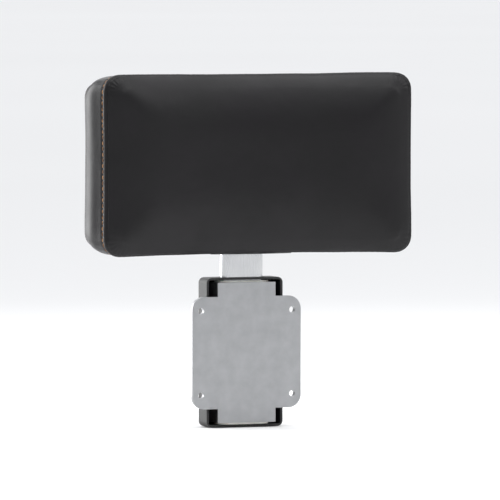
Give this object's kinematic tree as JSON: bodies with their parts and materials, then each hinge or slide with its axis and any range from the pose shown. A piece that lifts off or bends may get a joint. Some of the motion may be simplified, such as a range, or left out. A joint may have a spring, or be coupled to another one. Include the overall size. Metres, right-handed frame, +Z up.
{
  "type": "chair headrest",
  "caption": "Curved leather headrest pad that tilts on a friction hinge atop a polished flat-oval post, which slides up and down in a guide screwed to the chair's back.",
  "frame": {"origin": "middle of the guide's four screw holes, on the face that lies against the chair's back", "axes": "+Z up, -Y the way the pad's front faces, +X to the right seen from the front"},
  "size_m": [0.3692, 0.0908, 0.38],
  "materials": {
    "black_leather": "smooth semi-aniline, soft sheen",
    "tan_thread": "bonded polyester thread",
    "wadding": "bonded polyester fibre",
    "foam": "moulded polyurethane foam",
    "filled_nylon": "glass-filled, moulded",
    "black_moulding": "fine spark-eroded texture",
    "zinc_steel": "zinc plated",
    "black_steel": "black oxide",
    "black_painted_steel": "powder coated",
    "spring_steel": "phosphated",
    "friction_fibre": "pressed fibre",
    "polished_aluminium": "polished",
    "cast_aluminium": "tumbled die casting",
    "acetal": "natural, self-lubricating"
  },
  "bodies": {
    "guide": {"guide_housing": "cast_aluminium", "upper_glide": "acetal", "guide_end_cap": "acetal", "brake_shoe": "friction_fibre", "brake_disc_springs": "spring_steel", "brake_set_screw": "black_steel", "guide_cover": "black_moulding", "guide_cover_screws": "black_steel"},
    "post": {"support_post": "polished_aluminium", "post_end_plug": "acetal", "lower_glide": "acetal", "stop_screw": "zinc_steel", "hinge_knuckle": "cast_aluminium", "knuckle_bushes": "acetal", "knuckle_screws": "zinc_steel"},
    "head": {"front_leather_panel": "black_leather", "side_leather_band": "black_leather", "rear_leather_panel": "black_leather", "seam_topstitch": "tan_thread", "front_wadding": "wadding", "foam_core": "foam", "inner_carrier": "filled_nylon", "hinge_well": "black_moulding", "well_screws": "zinc_steel", "rear_cover": "black_moulding", "rear_cover_screws": "black_steel", "hinge_bracket": "black_painted_steel", "bracket_screws": "zinc_steel", "bracket_tee_nuts": "zinc_steel", "hinge_axle": "zinc_steel", "axle_lock_nut": "zinc_steel", "hinge_disc_springs": "spring_steel", "friction_washers": "friction_fibre"}
  },
  "joints": [
    {"name": "height_slide", "type": "slide", "parent": "guide", "child": "post", "axis": [0, 0, 1], "range_m": [0, 0.06]},
    {"name": "head_tilt", "type": "hinge", "parent": "post", "child": "head", "pos_m": [0, 0.0165, 0.15], "axis": [1, 0, 0], "range_deg": [-15, 20]}
  ]
}
